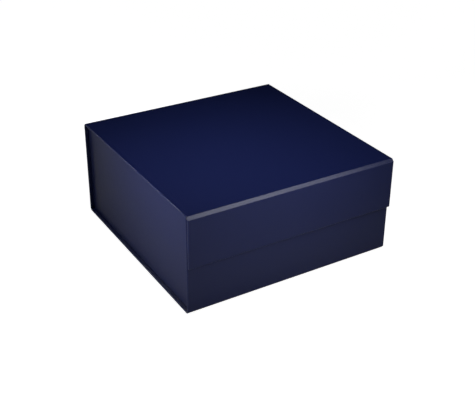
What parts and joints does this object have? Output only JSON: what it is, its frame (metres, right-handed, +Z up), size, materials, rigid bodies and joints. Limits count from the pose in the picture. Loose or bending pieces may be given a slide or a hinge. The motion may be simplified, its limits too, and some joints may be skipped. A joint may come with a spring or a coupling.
{
  "type": "magnetic gift box",
  "caption": "Low square folding gift box in navy paper with a hinged lid, whose front flap hangs over the front wall and is held shut by hidden magnets.",
  "frame": {"origin": "on the underside, below the middle of the closed box", "axes": "+X to the box's right as seen from the front, +Y from the flap at the front to the spine at the back, +Z up through the lid"},
  "size_m": [0.23, 0.2318, 0.105],
  "materials": {
    "navy_wrap": "satin",
    "crease_paper": "satin",
    "navy_lining": "matte",
    "corner_flap_card": "satin",
    "greyboard": "matte",
    "double_sided_tape": "matte",
    "magnet": "polished",
    "keeper_steel": "satin"
  },
  "bodies": {
    "tray": {"base_board": "greyboard", "base_front_crease": "crease_paper", "base_rear_crease": "crease_paper", "base_wrap": "navy_wrap", "floor_lining": "navy_lining", "front_wall_board": "greyboard", "front_wall_keeper_left": "keeper_steel", "front_wall_keeper_right": "keeper_steel", "front_wall_lining": "navy_lining", "front_wall_wrap": "navy_wrap", "left_side_board": "greyboard", "left_side_front_corner_flap": "corner_flap_card", "left_side_front_tape": "double_sided_tape", "left_side_lining": "navy_lining", "left_side_rear_corner_flap": "corner_flap_card", "left_side_rear_tape": "double_sided_tape", "left_side_wrap": "navy_wrap", "lid_crease": "crease_paper", "right_side_board": "greyboard", "right_side_front_corner_flap": "corner_flap_card", "right_side_front_tape": "double_sided_tape", "right_side_lining": "navy_lining", "right_side_rear_corner_flap": "corner_flap_card", "right_side_rear_tape": "double_sided_tape", "right_side_wrap": "navy_wrap", "spine_board": "greyboard", "spine_lining": "navy_lining", "spine_wrap": "navy_wrap"},
    "lid": {"flap_crease": "crease_paper", "lid_board": "greyboard", "lid_lining": "navy_lining", "lid_wrap": "navy_wrap"},
    "flap": {"flap_board": "greyboard", "flap_lining": "navy_lining", "flap_magnet_left": "magnet", "flap_magnet_right": "magnet", "flap_wrap": "navy_wrap"}
  },
  "joints": [
    {"name": "lid_hinge", "type": "hinge", "parent": "tray", "child": "lid", "pos_m": [0, 0.11506, 0.10412], "axis": [-1, 0, 0], "range_deg": [0, 175], "deforming": ["lid_crease"]},
    {"name": "flap_hinge", "type": "hinge", "parent": "lid", "child": "flap", "pos_m": [0, -0.11506, 0.10412], "axis": [-1, 0, 0], "range_deg": [0, 90], "deforming": ["flap_crease"]}
  ]
}
